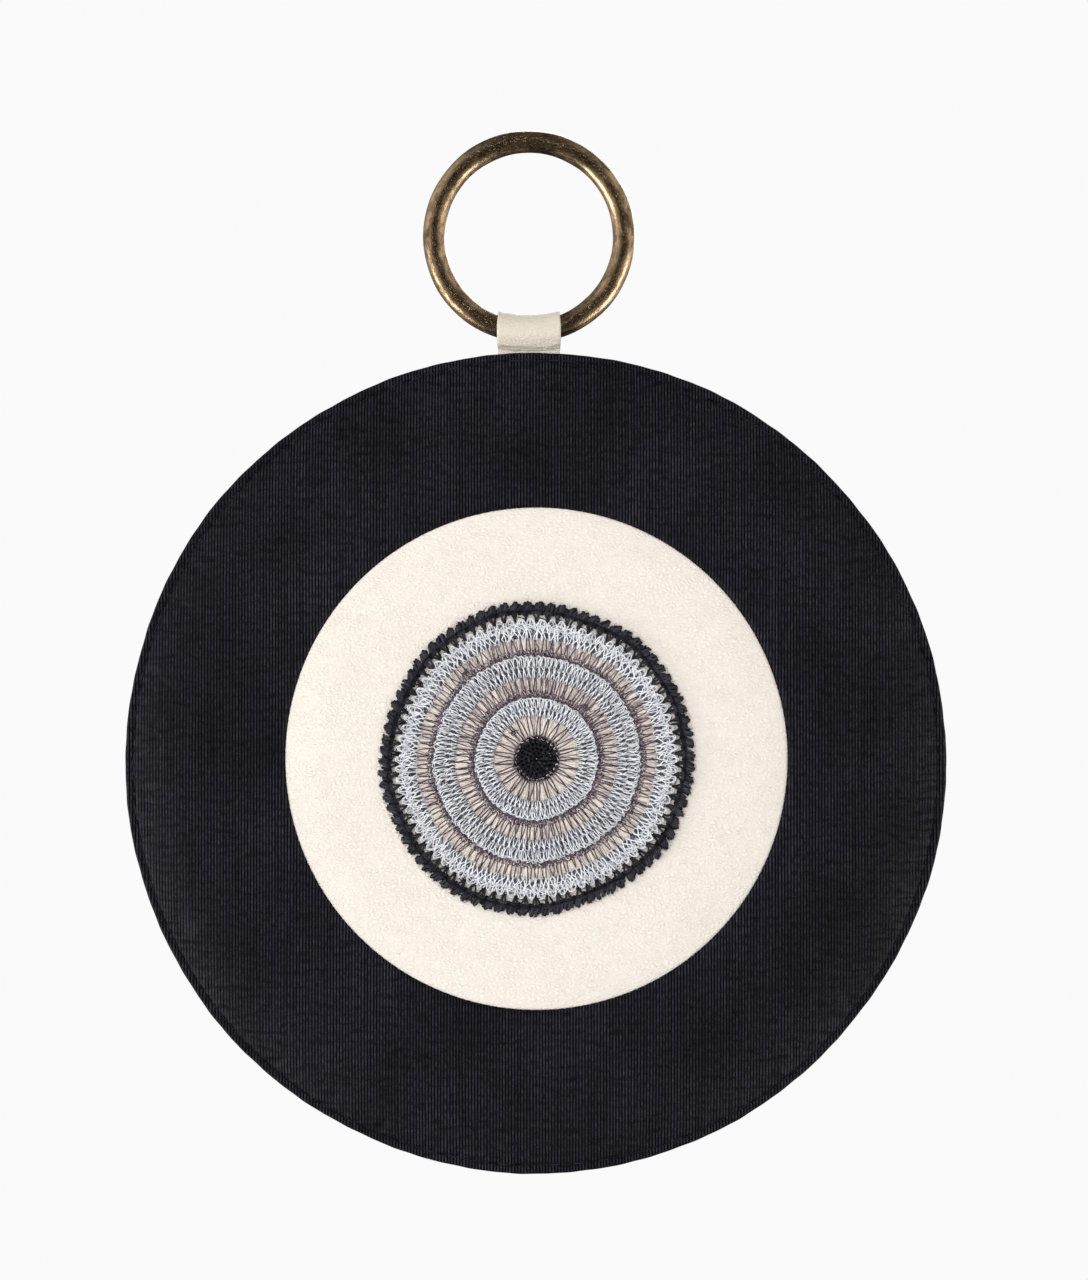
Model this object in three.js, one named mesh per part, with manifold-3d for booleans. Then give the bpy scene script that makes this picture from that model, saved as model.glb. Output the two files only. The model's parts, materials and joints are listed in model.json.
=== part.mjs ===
// Evil eye ornament: a padded fabric disc with a leather iris and a crocheted eye, hung from a brass ring
// by a leather tab. Millimetres, +Z up, the face looks along -Y. The origin is where a hook bears on the
// inside of the ring's top.
import * as THREE from "three";
import { mergeVertices } from "three/addons/utils/BufferGeometryUtils.js";
import Module from "manifold-3d";

const wasm = await Module();
wasm.setup();

// ---- driving dimensions ----
const DISC_R = 125; // the padded disc
const IRIS_R = 76.1; // the leather iris, at its seam
const IRIS_SHIFT = { x: 0.3, z: 1.3 }; // the iris is sewn in a little high and to the right
const RING_MID_R = 28.9; // the brass ring, to the middle of its wire
const WIRE_R = 3.4;
const RING_TO_DISC = 160.1; // between the centres of the ring and the disc
const TAB_SHIFT_X = -2; // the tab is sewn in a little to the left of the disc's centre
const TAB_W = 19.4;

const FABRIC = 0.45; // the faille of the two panels
const LEATHER = 0.9; // the hide of the iris and the tab
const SKIVED = 0.45; // the hide where it is pared thin, in a seam
const GAP = 0.1; // between layers that lie on each other
const THREAD = 0.35; // sewing thread
const SEAM = 6; // depth of the turned-in edges round the iris

const FACE_Y = -5.2; // outer faces of the disc, where they are flat
const BACK_Y = 4.8;
const RIM_HALF = 1.1; // half of the rim's thickness, where the two panels are stitched together
const ALLOWANCE = 8; // depth of the turned-in edges at the rim
const STITCH_R = DISC_R - 2.5; // the row of stitches round the rim
const FRONT_CROWN = { start: 98, power: 2.2 }; // radius where each face starts to fall to the rim
const BACK_CROWN = { start: 112, power: 2 };
const CROWN_STEPS = 4;

const BOARD = { r: 112, front: 1.8 };
const INTERLINING = { from: 84.6, to: 116, thick: 0.3 };
const WADDING_EDGE = DISC_R - ALLOWANCE - 0.5;
const HINGE_DROP = 5.5; // from the middle of the wire down to the line where the tab flexes
const RING_CLEARANCE = 0.3; // round the wire, inside the tab's loop
const TAIL_GAP = 0.3; // round the tab's sewn-in tail, and between it and the loop

const DISC_SEGMENTS = 48;
const DOILY_SEGMENTS = 32;
const RING_SEGMENTS = 60;
const WIRE_SEGMENTS = 12;

// ---- the leather iris ----
const IRIS_FACE = FACE_Y - 0.4; // it stands a little proud of the panel
const IRIS_EDGE = IRIS_R - 0.2;
const IRIS_ROUNDING = { depth: 1.2, shoulder: 0.35, drop: 0.3 };
const OPENING_R = IRIS_R + 0.4; // the hole in the front panel
const IRIS_SEAM_Y = FACE_Y + 0.6; // the seam's thread, down between the iris and the panel

// ---- the crocheted eye, worked from the middle out: radii from the iris's centre ----
const DOILY_BACK = IRIS_FACE - GAP;
const ROUNDS = [
  { name: "pupil_rosette", from: 0.6, to: 6.0, thick: 1.0, yarn: "blackCotton" },
  { name: "lace_round_inner", from: 6.3, to: 12.9, thick: 0.5, yarn: "mauveLurex" },
  { name: "silver_round_inner", from: 13.2, to: 18.1, thick: 1.1, yarn: "silverCord" },
  { name: "lace_round_middle", from: 18.4, to: 24.4, thick: 0.5, yarn: "mauveLurex" },
  { name: "silver_round_middle", from: 24.7, to: 30.6, thick: 1.1, yarn: "silverCord" },
  { name: "lace_round_outer", from: 30.9, to: 36.2, thick: 0.5, yarn: "mauveLurex" },
  { name: "silver_round_outer", from: 36.5, to: 42.2, thick: 1.1, yarn: "silverCord" },
];
const EDGING = { from: 43.0, valley: 45.9, peak: 47.6, picots: 82, thick: 1.3 };
const TACKING_R = 42.6; // slip stitches that hold the eye to the iris, between the last two rounds

// ---- materials ----
const material = (color, roughness, metalness = 0) =>
  new THREE.MeshStandardMaterial({ color, roughness, metalness });
const MATERIALS = {
  blackFaille: material(0x1a1a22, 0.62),
  creamLeather: material(0xf3ebde, 0.55),
  antiqueBrass: material(0x6e5532, 0.35, 1),
  blackThread: material(0x15151b, 0.7),
  blackCotton: material(0x101016, 0.85),
  silverCord: material(0xc4c8d2, 0.35, 0.4),
  mauveLurex: material(0x8b7784, 0.4, 0.3),
  greyBoard: material(0x8c857a, 0.9),
  wadding: material(0xf2f2ee, 1),
  interlining: material(0x2a2a2e, 0.95),
};

// ---- helpers ----
function signedArea(profile) {
  return profile.reduce((sum, [r, y], i) => {
    const [rNext, yNext] = profile[(i + 1) % profile.length];
    return sum + (r * yNext - rNext * y) / 2;
  }, 0);
}

// Turns a closed outline of [radius, y] points round the Y axis. An outline that touches the axis starts
// and ends on it, and any other one closes on itself.
function turned(profile, segments = DISC_SEGMENTS) {
  const onAxis = profile[0][0] === 0 && profile.at(-1)[0] === 0;
  const outline = signedArea(profile) > 0 ? [...profile] : [...profile].reverse();
  if (!onAxis) outline.push(outline[0]);
  return new THREE.LatheGeometry(outline.map(([r, y]) => new THREE.Vector2(r, y)), segments);
}

const plate = (r, y0, y1, segments) => turned([[0, y0], [r, y0], [r, y1], [0, y1]], segments);
const washer = (r0, r1, y0, y1, segments) => turned([[r0, y0], [r1, y0], [r1, y1], [r0, y1]], segments);

function block(x0, x1, y0, y1, z0, z1) {
  const box = new THREE.BoxGeometry(x1 - x0, y1 - y0, z1 - z0);
  return box.translate((x0 + x1) / 2, (y0 + y1) / 2, (z0 + z1) / 2);
}

function toSolid(geometry) {
  const bare = geometry.clone();
  bare.deleteAttribute("normal");
  bare.deleteAttribute("uv");
  const merged = mergeVertices(bare, 1e-3);
  const vertProperties = new Float32Array(merged.attributes.position.array);
  const triVerts = new Uint32Array(merged.index.array);
  return new wasm.Manifold(new wasm.Mesh({ numProp: 3, vertProperties, triVerts }));
}

function toGeometry(solid) {
  const mesh = solid.getMesh();
  const geometry = new THREE.BufferGeometry();
  geometry.setAttribute("position", new THREE.BufferAttribute(mesh.vertProperties, mesh.numProp));
  geometry.setIndex(new THREE.BufferAttribute(mesh.triVerts, 1));
  geometry.computeVertexNormals();
  return geometry;
}

function named(name, geometry, look) {
  const mesh = new THREE.Mesh(geometry, MATERIALS[look]);
  mesh.name = name;
  return mesh;
}

function group(x, y, z, ...children) {
  const made = new THREE.Group();
  made.position.set(x, y, z);
  made.add(...children);
  return made;
}

// ---- the disc's two faces, as y at a radius ----
function crown(r, flatY, { start, power }) {
  const side = Math.sign(flatY);
  const share = Math.min(1, Math.max(0, (r - start) / (STITCH_R - start)));
  return side * (RIM_HALF + (Math.abs(flatY) - RIM_HALF) * (1 - share ** power));
}
const frontY = (r) => crown(r, FACE_Y, FRONT_CROWN);
const backY = (r) => crown(r, BACK_Y, BACK_CROWN);

// Radii from the start of a crown to the row of stitches, closer together near the rim.
function crownRadii(start) {
  return Array.from({ length: CROWN_STEPS + 1 }, (_, i) => {
    const share = Math.sin((i / CROWN_STEPS) * (Math.PI / 2));
    return start + (STITCH_R - start) * share;
  });
}

// Points that run under the front panel, at a depth below its outer face, out to a radius.
function underFront(depth, edge) {
  const radii = crownRadii(FRONT_CROWN.start).filter((r) => r < edge);
  return [...radii, edge].map((r) => [r, frontY(r) + depth]);
}

// A panel of faille whose edge is turned in at the rim: the outer layer, a round fold and the allowance.
function panelProfile(faceY, { start }) {
  const side = Math.sign(faceY(0));
  const radii = crownRadii(start);
  const tip = DISC_R - FABRIC;
  const foldY = RIM_HALF - FABRIC;
  const fold = [-0.5, 0, 0.5].map((turn) => [
    tip + FABRIC * Math.cos(turn * Math.PI),
    side * (foldY - FABRIC * Math.sin(turn * Math.PI)),
  ]);
  const outer = [[0, faceY(0)], ...radii.map((r) => [r, faceY(r)])];
  const inner = outer.map(([r, y]) => [r, y - side * FABRIC]).reverse();
  const allowance = [
    [DISC_R - ALLOWANCE, side * (foldY - FABRIC)],
    [DISC_R - ALLOWANCE, side * foldY],
  ];
  return [...outer, ...fold, ...allowance, ...inner];
}

// ---- the disc ----
const flexLine = RING_TO_DISC - RING_MID_R - HINGE_DROP; // its height above the disc's centre
const tail = {
  top: flexLine - SKIVED - TAIL_GAP,
  bottom: WADDING_EDGE,
  x0: TAB_SHIFT_X - TAB_W / 2,
  x1: TAB_SHIFT_X + TAB_W / 2,
};

// Room in the rim's seam for the tab's sewn-in tail.
function tailPocket() {
  const half = RIM_HALF - FABRIC;
  const [left, right] = [tail.x0 - TAIL_GAP, tail.x1 + TAIL_GAP];
  return toSolid(block(left, right, -half, half, tail.bottom - TAIL_GAP, DISC_R + 1));
}

function frontPanel() {
  const allowance = washer(OPENING_R, OPENING_R + SEAM, FACE_Y + FABRIC / 2, FACE_Y + 2 * FABRIC);
  const cutter = plate(OPENING_R, FACE_Y - 1, 0);
  const atIris = (geometry) => toSolid(geometry.translate(IRIS_SHIFT.x, 0, IRIS_SHIFT.z));
  const shell = toSolid(turned(panelProfile(frontY, FRONT_CROWN)));
  const pierced = shell.subtract(atIris(cutter)).add(atIris(allowance));
  return toGeometry(pierced.subtract(tailPocket()));
}

function backPanel() {
  const shell = toSolid(turned(panelProfile(backY, BACK_CROWN)));
  return toGeometry(shell.subtract(tailPocket()));
}

// A thin lining fused behind the front panel, round the iris's seam.
function panelInterlining() {
  const { from, to, thick } = INTERLINING;
  const front = [[from, FACE_Y + FABRIC + GAP], ...underFront(FABRIC + GAP, to)];
  return turned([...front, ...front.map(([r, y]) => [r, y + thick]).reverse()]);
}

// The wadding swells over the board and thins towards the rim.
function wadding() {
  const depth = FABRIC + INTERLINING.thick + 3 * GAP;
  const front = underFront(depth, WADDING_EDGE);
  const boardSide = BOARD.r + 0.4;
  const back = [WADDING_EDGE, boardSide].map((r) => [r, backY(r) - FABRIC - 2 * GAP]);
  const hollow = [[boardSide, BOARD.front - GAP], [0, BOARD.front - GAP]];
  return turned([[0, front[0][1]], ...front, ...back, ...hollow]);
}

// The leather iris: its face, the rounded edge at the seam and the pared allowance behind it.
function irisDisc() {
  const { depth, shoulder, drop } = IRIS_ROUNDING;
  const back = IRIS_FACE + LEATHER;
  const seamR = IRIS_EDGE - SEAM;
  return turned([
    [0, IRIS_FACE],
    [IRIS_EDGE - depth, IRIS_FACE],
    [IRIS_EDGE - shoulder, IRIS_FACE + drop],
    [IRIS_EDGE, back],
    [IRIS_EDGE, back + SKIVED],
    [seamR, back + SKIVED],
    [seamR, back],
    [0, back],
  ]);
}

// A closed ring of sewing thread: a lockstitch row, as one continuous thread.
function threadRing(radius, middleY, size = THREAD) {
  const half = size / 2;
  return turned([
    [radius - half, middleY],
    [radius, middleY - half],
    [radius + half, middleY],
    [radius, middleY + half],
  ]);
}

// A worked round: a flat annulus with its front edges rounded over.
function round({ from, to, thick }) {
  const front = DOILY_BACK - thick;
  const bevel = thick / 3;
  const profile = [
    [from, DOILY_BACK],
    [from, front + bevel],
    [from + bevel, front],
    [to - bevel, front],
    [to, front + bevel],
    [to, DOILY_BACK],
  ];
  return turned(profile, DOILY_SEGMENTS);
}

// The edging: a flat ring whose rim is a row of round picots.
function picotEdging() {
  const { from, valley, peak, picots, thick } = EDGING;
  const pitch = (2 * Math.PI) / picots;
  const corners = [];
  for (let i = 0; i < picots; i++) {
    for (const [share, r] of [[0, valley], [0.3, peak], [0.7, peak]]) {
      const angle = (i + share) * pitch;
      corners.push(new THREE.Vector2(r * Math.cos(angle), r * Math.sin(angle)));
    }
  }
  const outline = new THREE.Shape(corners);
  outline.holes.push(new THREE.Path().absarc(0, 0, from, 0, 2 * Math.PI, true));
  const flat = { depth: thick, bevelEnabled: false, curveSegments: DOILY_SEGMENTS / 2 };
  const geometry = new THREE.ExtrudeGeometry(outline, flat);
  return geometry.rotateX(Math.PI / 2).translate(0, DOILY_BACK, 0);
}

// ---- the tab ----
// The strip's side outline round the wire, with its neck at the flex line, drawn about the wire's middle.
function loopOutline() {
  const inside = WIRE_R + RING_CLEARANCE;
  const outside = inside + LEATHER;
  const neck = Math.asin(SKIVED / outside);
  const outline = new THREE.Shape();
  outline.moveTo(SKIVED, -HINGE_DROP);
  outline.absarc(0, 0, outside, -Math.PI / 2 + neck, 1.5 * Math.PI - neck, false);
  outline.lineTo(-SKIVED, -HINGE_DROP);
  outline.absarc(0, -HINGE_DROP, SKIVED, Math.PI, 2 * Math.PI, false);
  outline.holes.push(new THREE.Path().absarc(0, 0, inside, 0, 2 * Math.PI, true));
  return outline;
}

// The loop follows the curve of the ring across its width, and its neck stays level.
function tabLoop() {
  const across = new THREE.Matrix4().makeBasis(
    new THREE.Vector3(0, 1, 0),
    new THREE.Vector3(0, 0, 1),
    new THREE.Vector3(1, 0, 0),
  );
  const strip = { depth: TAB_W, steps: 6, bevelEnabled: false, curveSegments: 8 };
  const geometry = new THREE.ExtrudeGeometry(loopOutline(), strip);
  geometry.translate(0, 0, -TAB_W / 2).applyMatrix4(across);
  const place = geometry.attributes.position;
  const hugging = -(WIRE_R + RING_CLEARANCE); // from this height up, the strip follows the ring
  const level = hugging - 1.5;
  for (let i = 0; i < place.count; i++) {
    const x = place.getX(i);
    const z = place.getZ(i);
    const along = Math.sqrt(RING_MID_R ** 2 - x ** 2);
    const followed = (z * RING_MID_R) / along + RING_MID_R - along;
    const share = THREE.MathUtils.smoothstep(z, level, hugging);
    place.setZ(i, THREE.MathUtils.lerp(z, followed, share));
  }
  return geometry;
}

const tabTail = () => block(tail.x0, tail.x1, -SKIVED, SKIVED, tail.bottom, tail.top);

// ---- the brass ring ----
const hangRing = () =>
  new THREE.TorusGeometry(RING_MID_R, WIRE_R, WIRE_SEGMENTS, RING_SEGMENTS).rotateX(Math.PI / 2);

// ---- assembly ----
const ringZ = -(RING_MID_R - WIRE_R); // the ring's centre, below the hook
const wireZ = ringZ - RING_MID_R; // the middle of the wire where the tab holds it
const discZ = ringZ - RING_TO_DISC;

const eye = ROUNDS.map((worked) => named(worked.name, round(worked), worked.yarn));
const iris = group(
  IRIS_SHIFT.x,
  0,
  IRIS_SHIFT.z,
  named("iris_disc", irisDisc(), "creamLeather"),
  named("iris_seam_thread", threadRing(IRIS_R, IRIS_SEAM_Y), "blackThread"),
  ...eye,
  named("picot_edging", picotEdging(), "blackCotton"),
  named("doily_tacking_thread", threadRing(TACKING_R, DOILY_BACK - THREAD), "blackThread"),
);

const disc = group(
  -TAB_SHIFT_X,
  0,
  discZ,
  named("front_panel", frontPanel(), "blackFaille"),
  named("back_panel", backPanel(), "blackFaille"),
  named("panel_interlining", panelInterlining(), "interlining"),
  named("wadding", wadding(), "wadding"),
  named("stiffener_board", plate(BOARD.r, BOARD.front, BACK_Y - FABRIC - GAP), "greyBoard"),
  named("topstitch_needle_thread", threadRing(STITCH_R, -RIM_HALF - GAP - THREAD / 2), "blackThread"),
  named("topstitch_bobbin_thread", threadRing(STITCH_R, RIM_HALF + GAP + THREAD / 2), "blackThread"),
  named("tab_tail", tabTail(), "creamLeather"),
  iris,
);

const tab = group(0, 0, wireZ, named("tab_loop", tabLoop(), "creamLeather"));
const ring = group(0, 0, ringZ, named("hang_ring", hangRing(), "antiqueBrass"));

export default group(0, 0, 0, ring, tab, disc);
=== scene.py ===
"""Evil eye ornament: a padded disc of black moire faille with a cream leather iris and a crocheted eye,
hung from an antique brass ring by a leather tab. Lengths are in millimetres until make_object(), and the
studio's camera and lights are placed in metres. The face looks along -Y."""

import json
import math

import bpy
import numpy as np
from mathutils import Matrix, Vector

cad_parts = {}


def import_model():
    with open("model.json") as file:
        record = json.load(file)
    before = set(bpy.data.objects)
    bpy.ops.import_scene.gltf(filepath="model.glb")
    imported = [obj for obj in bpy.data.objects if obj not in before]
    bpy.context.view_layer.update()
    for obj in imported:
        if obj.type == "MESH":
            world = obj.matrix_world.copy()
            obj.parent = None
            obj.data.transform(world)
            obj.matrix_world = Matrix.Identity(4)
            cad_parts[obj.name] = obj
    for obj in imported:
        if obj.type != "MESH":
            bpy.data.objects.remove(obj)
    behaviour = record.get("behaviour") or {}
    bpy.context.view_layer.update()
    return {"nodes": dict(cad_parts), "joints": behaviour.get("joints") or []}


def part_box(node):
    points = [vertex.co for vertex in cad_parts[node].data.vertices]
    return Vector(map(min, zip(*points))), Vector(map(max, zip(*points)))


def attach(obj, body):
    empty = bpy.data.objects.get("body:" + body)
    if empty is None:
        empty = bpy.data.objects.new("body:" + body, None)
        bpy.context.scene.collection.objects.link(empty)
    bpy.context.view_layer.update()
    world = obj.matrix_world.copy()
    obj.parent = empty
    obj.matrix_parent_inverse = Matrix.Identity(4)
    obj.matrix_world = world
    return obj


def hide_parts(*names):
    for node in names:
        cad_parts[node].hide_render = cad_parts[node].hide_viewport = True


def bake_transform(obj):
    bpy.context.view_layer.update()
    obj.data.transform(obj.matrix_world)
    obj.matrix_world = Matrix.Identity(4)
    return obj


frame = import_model()
rng = np.random.default_rng(11)

MM = 0.001
TURN = 2 * math.pi


def box_mm(node):
    low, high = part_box(node)
    return np.array(low) / MM, np.array(high) / MM


# ---- places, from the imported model; x goes across, y from front to back and z up ----
ring_low, ring_high = box_mm("hang_ring")
RING_CENTRE = (ring_low + ring_high) / 2
WIRE_R = (ring_high[1] - ring_low[1]) / 2
RING_R = (ring_high[2] - ring_low[2]) / 2 - WIRE_R
WIRE_Z = RING_CENTRE[2] - RING_R  # the middle of the wire where the tab holds it

disc_low, disc_high = box_mm("back_panel")
DISC_CENTRE = (disc_low + disc_high) / 2
DISC_R = (disc_high[0] - disc_low[0]) / 2
BACK_Y = disc_high[1]
FACE_Y = box_mm("front_panel")[0][1]

iris_low, iris_high = box_mm("iris_disc")
IRIS_CENTRE = (iris_low + iris_high) / 2
IRIS_GAP = 0.2  # the CAD iris stops this far short of its seam
IRIS_R = (iris_high[0] - iris_low[0]) / 2 + IRIS_GAP
IRIS_FACE = iris_low[1]

fold_joint = next(j for j in frame["joints"] if j["name"] == "tab_fold")
FLEX_Z = fold_joint["pos_m"][2] / MM
TAIL_Z = box_mm("tab_tail")[0][2]
TAB_W = box_mm("tab_loop")[1][0] - box_mm("tab_loop")[0][0]

# ---- sizes that only the looks need ----
STITCH_R = DISC_R - 2.5  # the row of stitches round the rim
STITCHES = 202
STITCH_THICK = 0.36
RIM_HALF = 1.1  # half of the rim's thickness at the row
FRONT_CROWN = (98, 2.2)  # the radius where each face starts to fall to the rim, and how sharply it does
BACK_CROWN = (112, 2.0)
SEAM_DROP = 0.75  # how far the faille dips into the iris's seam
BACK_MIDDLE_R = 70.0  # inside this the back lies flat on its board
IRIS_FLAT_R = 62.0  # outside this the iris starts to roll over
IRIS_LIP = 1.1  # the width of its rounded edge
LEATHER = 0.9
SKIVED = 0.45
TAB_GAP = 0.3  # between the wire and the tab
TAB_SLACK = 1.13  # the tab stands off the wire a little inside the ring
PICOTS = 82

# ---- the cloth simulation ----
CLOTH_ROWS, CLOTH_COLUMNS = 22, 300
CLOTH_SLACK = 0.012
CLOTH_FRAMES = 20
MOST_SWELL = 0.4
CLOTH = {
    "quality": 6,
    "mass": 0.15,
    "tension_stiffness": 12,
    "compression_stiffness": 8,
    "shear_stiffness": 4,
    "bending_stiffness": 0.4,
    "shrink_min": -CLOTH_SLACK,
    "vertex_group_mass": "held",
    "use_pressure": True,
    "uniform_pressure_force": 2.5,
}

# ---- colours, linear ----
FAILLE = ((0.0008, 0.0008, 0.0015), (0.035, 0.033, 0.046))
IRIS_CREAM = (0.735, 0.678, 0.612)
TAB_CREAM = (0.605, 0.55, 0.462)
SILVER = ((0.025, 0.023, 0.038), (0.48, 0.48, 0.53), (0.95, 0.97, 1.0))
MAUVE = ((0.022, 0.013, 0.024), (0.3, 0.21, 0.27), (0.98, 0.88, 0.78))
THREAD = ((0.001, 0.001, 0.002), (0.003, 0.003, 0.004), (0.02, 0.02, 0.028))
COTTON = ((0.0015, 0.0015, 0.0025), (0.007, 0.007, 0.01), (0.045, 0.045, 0.058))
PATINA = (0.03, 0.019, 0.01)
BRASS = (0.5, 0.345, 0.2)


# ---- meshes ----
def make_object(name, points, faces, uv=None, shade=None):
    """One mesh object. faces is a list of arrays of corners, each with its own number of corners, and uv is
    the same list with a place in millimetres for each corner. shade is a tone for each point, 0 to 1."""
    mesh = bpy.data.meshes.new(name)
    corners = np.concatenate([f.ravel() for f in faces]).astype(np.int32)
    sizes = np.concatenate([np.full(len(f), f.shape[1]) for f in faces])
    starts = np.concatenate([[0], np.cumsum(sizes)[:-1]]).astype(np.int32)
    mesh.vertices.add(len(points))
    mesh.vertices.foreach_set("co", (points * MM).astype(np.float32).ravel())
    mesh.loops.add(len(corners))
    mesh.loops.foreach_set("vertex_index", corners)
    mesh.polygons.add(len(sizes))
    mesh.polygons.foreach_set("loop_start", starts)
    if uv is not None:
        layer = mesh.uv_layers.new(name="lay")
        flat = np.concatenate([u.reshape(-1, 2) for u in uv])
        layer.data.foreach_set("uv", flat.astype(np.float32).ravel())
    if shade is not None:
        tone = mesh.attributes.new("shade", "FLOAT", "POINT")
        tone.data.foreach_set("value", np.asarray(shade, np.float32))
    mesh.update(calc_edges=True)
    mesh.validate()
    mesh.shade_smooth()
    obj = bpy.data.objects.new(name, mesh)
    bpy.context.scene.collection.objects.link(obj)
    return obj


def grid_faces(rows, columns, wrap_rows=False, wrap_columns=True, flip=False):
    """Corners of the quads of a grid of points, which are numbered row by row."""
    row = np.arange(rows if wrap_rows else rows - 1)
    column = np.arange(columns if wrap_columns else columns - 1)
    r, c = np.meshgrid(row, column, indexing="ij")
    up, across = (r + 1) % rows, (c + 1) % columns
    corners = [r * columns + c, r * columns + across, up * columns + across, up * columns + c]
    quads = np.stack(corners, axis=-1).reshape(-1, 4)
    return quads[:, ::-1] if flip else quads


def smooth_path(points, count):
    """count points on a Catmull-Rom curve through the given ones, along the next to last axis."""
    p = np.asarray(points, float)
    ends = 2 * p[..., :1, :] - p[..., 1:2, :], 2 * p[..., -1:, :] - p[..., -2:-1, :]
    q = np.concatenate([ends[0], p, ends[1]], axis=-2)
    at = np.linspace(0, p.shape[-2] - 1, count)
    i = np.minimum(at.astype(int), p.shape[-2] - 2)
    t = (at - i)[:, None]
    a, b, c, d = (q[..., i + k, :] for k in range(4))
    bend = (2 * a - 5 * b + 4 * c - d) * t**2 + (3 * b - a - 3 * c + d) * t**3
    return 0.5 * (2 * b + (c - a) * t + bend)


def unit(v):
    return v / np.maximum(np.linalg.norm(v, axis=-1, keepdims=True), 1e-9)


def frames(tangent):
    """Two directions square to the tangents of some paths, which do not twist along them."""
    side, up = np.empty_like(tangent), np.empty_like(tangent)
    now = np.cross(tangent[:, 0], [0.31, 1.0, 0.17])
    for j in range(tangent.shape[1]):
        t = tangent[:, j]
        now = unit(now - t * (now * t).sum(-1, keepdims=True))
        side[:, j], up[:, j] = now, np.cross(t, now)
    return side, up


class Threads:
    """Yarn laid along many paths, which becomes one mesh."""

    def __init__(self, sides=6):
        self.sides = sides
        self.points, self.faces, self.uv, self.shades = [], [], [], []
        self.count = 0

    def lay(self, paths, thickness, shade=0.5):
        """A thread along each of the paths, an array of paths by points by 3. shade is one tone, or one for
        each path, or one for each point."""
        n, k, s = len(paths), paths.shape[1], self.sides
        tangent = unit(np.gradient(paths, axis=1))
        round_it = np.arange(s) * TURN / s
        side, up = frames(tangent)
        spoke = np.cos(round_it)[:, None] * side[:, :, None] + np.sin(round_it)[:, None] * up[:, :, None]
        rings = paths[:, :, None] + spoke * thickness / 2
        tips = paths[:, [0, -1]] + tangent[:, [0, -1]] * np.array([[-0.3], [0.3]]) * thickness
        ring_points = rings.reshape(-1, 3)
        base = self.count + np.arange(n)[:, None, None] * k * s
        quads = (base + grid_faces(k, s)[None]).reshape(-1, 4)
        tip = self.count + n * k * s + 2 * np.arange(n)[:, None, None]
        around = np.arange(s)
        after = (around + 1) % s
        first = base + np.stack([after, around], axis=-1)[None]
        last = base + (k - 1) * s + np.stack([around, after], axis=-1)[None]
        start_cap = np.concatenate([np.broadcast_to(tip, (n, s, 1)), first], axis=-1).reshape(-1, 3)
        end_cap = np.concatenate([np.broadcast_to(tip + 1, (n, s, 1)), last], axis=-1).reshape(-1, 3)
        self.points += [ring_points, tips.reshape(-1, 3)]
        self.faces += [quads, start_cap, end_cap]
        self.uv += self._places(paths, n, s)
        tone = np.asarray(shade, float)
        tone = np.broadcast_to(tone.reshape(tone.shape + (1,) * (2 - tone.ndim)), (n, k))
        self.shades += [np.repeat(tone, s, axis=1).ravel(), tone[:, [0, -1]].ravel()]
        self.count += n * k * s + 2 * n

    def _places(self, paths, n, s):
        """A place for each corner: the length along the thread, and the share of the way round it."""
        step = np.linalg.norm(np.diff(paths, axis=1), axis=-1)
        along = np.concatenate([np.zeros((n, 1)), np.cumsum(step, axis=1)], axis=1)
        a0 = np.repeat(along[:, :-1, None], s, axis=2)
        a1 = np.repeat(along[:, 1:, None], s, axis=2)
        v0 = np.broadcast_to(np.arange(s) / s, a0.shape)
        v1 = v0 + 1 / s
        corners = [(a0, v0), (a0, v1), (a1, v1), (a1, v0)]
        quads = np.stack([np.stack(c, axis=-1) for c in corners], axis=-2).reshape(-1, 2)
        caps = np.zeros((2 * n * s * 3, 2))
        return [quads, caps]

    def make(self, name):
        points, shades = np.concatenate(self.points), np.concatenate(self.shades)
        return make_object(name, points, self.faces, self.uv, shades)


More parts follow.
